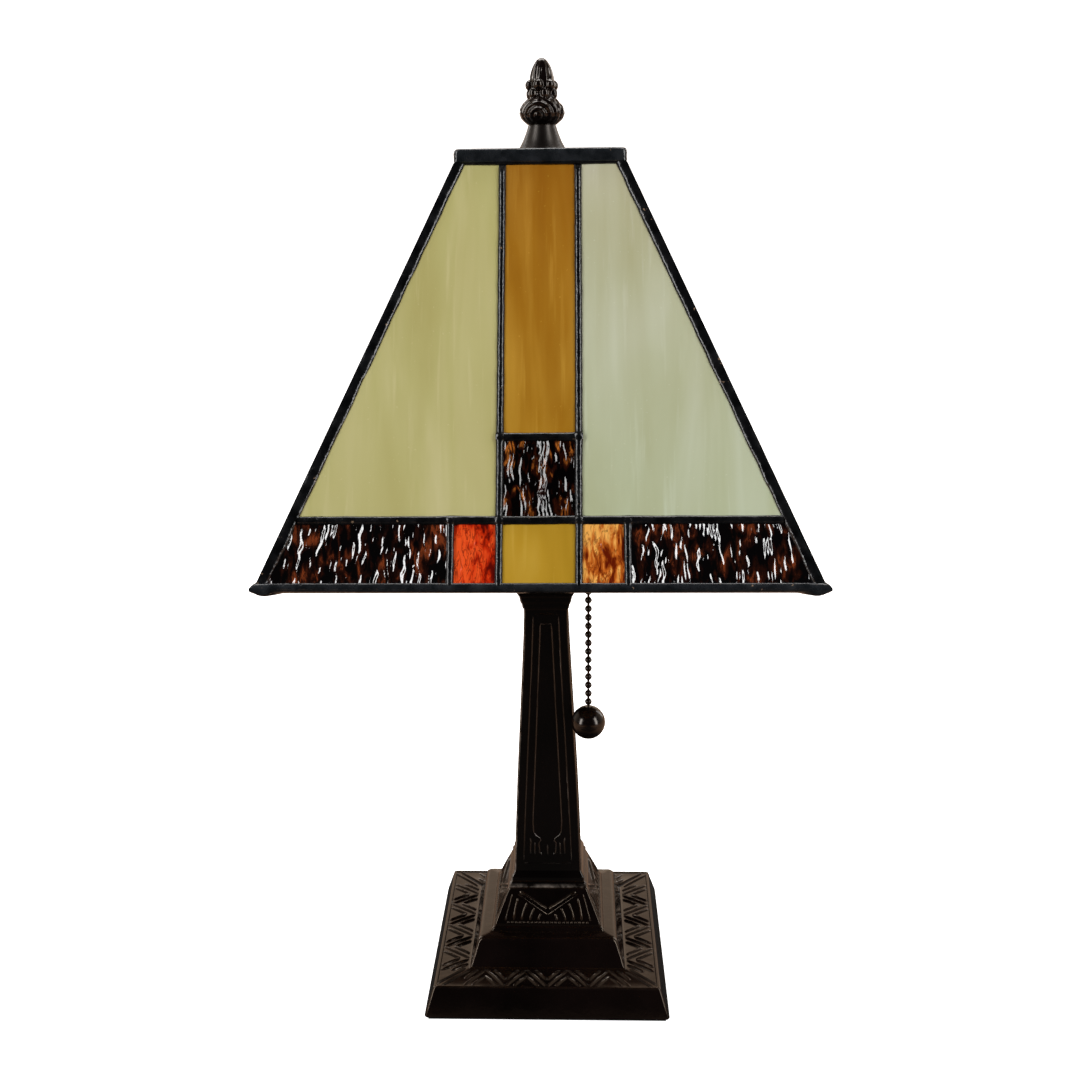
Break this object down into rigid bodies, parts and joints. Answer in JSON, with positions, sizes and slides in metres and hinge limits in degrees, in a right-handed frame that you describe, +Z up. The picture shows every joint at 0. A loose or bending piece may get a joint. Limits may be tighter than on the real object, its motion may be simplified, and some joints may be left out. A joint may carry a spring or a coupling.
{
  "type": "stained glass table lamp",
  "caption": "Table lamp: a pyramid shade of leaded coloured glass held on a harp by a finial, over a tapered square metal column on a stepped base, with a bulb and a beaded pull chain.",
  "frame": {"origin": "middle of the underside of the base, on the table", "axes": "+Z up through the column to the finial, front of the shade facing -Y, +X to its right"},
  "size_m": [0.1982, 0.1982, 0.381],
  "materials": {
    "cream_glass_warm": "gloss",
    "cream_glass_cool": "gloss",
    "amber_glass": "gloss",
    "brown_ripple_glass": "gloss",
    "gold_glass": "gloss",
    "red_glass": "gloss",
    "orange_ripple_glass": "gloss",
    "patina_solder": "gloss",
    "dark_bronze": "satin",
    "chain_bronze": "satin",
    "brass": "satin",
    "insulator": "matte",
    "bulb_glass": "satin",
    "bulb_metal": "satin",
    "zinc_steel": "satin",
    "felt": "matte",
    "black_plastic": "matte"
  },
  "bodies": {
    "stand": {"column": "dark_bronze", "base_plinth": "dark_bronze", "threaded_tube": "zinc_steel", "base_nut": "zinc_steel", "base_pad": "felt", "cord_bushing": "black_plastic", "harp_saddle": "brass", "harp_loop": "brass", "harp_ferrules": "brass", "harp_seat": "brass", "socket_cap": "brass", "socket_shell": "brass", "socket_interior": "insulator"},
    "shade": {"pane_front_cream_left": "cream_glass_warm", "pane_front_cream_right": "cream_glass_cool", "pane_front_amber": "amber_glass", "pane_front_brown_square": "brown_ripple_glass", "pane_front_gold": "gold_glass", "pane_front_red": "red_glass", "pane_front_orange": "orange_ripple_glass", "pane_front_borders": "brown_ripple_glass", "pane_right_cream_left": "cream_glass_warm", "pane_right_cream_right": "cream_glass_cool", "pane_right_amber": "amber_glass", "pane_right_brown_square": "brown_ripple_glass", "pane_right_gold": "gold_glass", "pane_right_red": "red_glass", "pane_right_orange": "orange_ripple_glass", "pane_right_borders": "brown_ripple_glass", "pane_back_cream_left": "cream_glass_warm", "pane_back_cream_right": "cream_glass_cool", "pane_back_amber": "amber_glass", "pane_back_brown_square": "brown_ripple_glass", "pane_back_gold": "gold_glass", "pane_back_red": "red_glass", "pane_back_orange": "orange_ripple_glass", "pane_back_borders": "brown_ripple_glass", "pane_left_cream_left": "cream_glass_warm", "pane_left_cream_right": "cream_glass_cool", "pane_left_amber": "amber_glass", "pane_left_brown_square": "brown_ripple_glass", "pane_left_gold": "gold_glass", "pane_left_red": "red_glass", "pane_left_orange": "orange_ripple_glass", "pane_left_borders": "brown_ripple_glass", "seams_front": "patina_solder", "seams_right": "patina_solder", "seams_back": "patina_solder", "seams_left": "patina_solder", "hip_seams": "patina_solder", "rim_channel": "patina_solder", "top_cap": "patina_solder"},
    "finial": {"finial": "dark_bronze", "finial_neck": "dark_bronze"},
    "bulb": {"bulb_glass": "bulb_glass", "bulb_base": "bulb_metal"},
    "chain_pull": {"chain_slider": "chain_bronze"},
    "chain_link": {"chain_swivel": "chain_bronze"},
    "chain_hang": {"pull_chain": "chain_bronze", "pull_ball": "chain_bronze"}
  },
  "joints": [
    {"name": "shade_turn", "type": "hinge", "parent": "stand", "child": "shade", "pos_m": [0, 0, 0.3463], "axis": [0, 0, 1], "continuous": true},
    {"name": "finial_turn", "type": "hinge", "parent": "stand", "child": "finial", "pos_m": [0, 0, 0.3573], "axis": [0, 0, 1], "continuous": true},
    {"name": "bulb_turn", "type": "hinge", "parent": "stand", "child": "bulb", "pos_m": [0, 0, 0.225], "axis": [0, 0, 1], "continuous": true},
    {"name": "chain_travel", "type": "slide", "parent": "stand", "child": "chain_pull", "axis": [0, 0, -1], "range_m": [0, 0.008], "stiffness_N_per_m": 600, "springref_m": -0.01},
    {"name": "chain_swing_out", "type": "hinge", "parent": "chain_pull", "child": "chain_link", "pos_m": [0.0175, -0.02, 0.1957], "axis": [-0.7526, -0.6585, 0], "range_deg": [-1, 25]},
    {"name": "chain_swing_side", "type": "hinge", "parent": "chain_link", "child": "chain_hang", "pos_m": [0.0175, -0.02, 0.1957], "axis": [0.6585, -0.7526, 0], "range_deg": [-25, 25]}
  ]
}
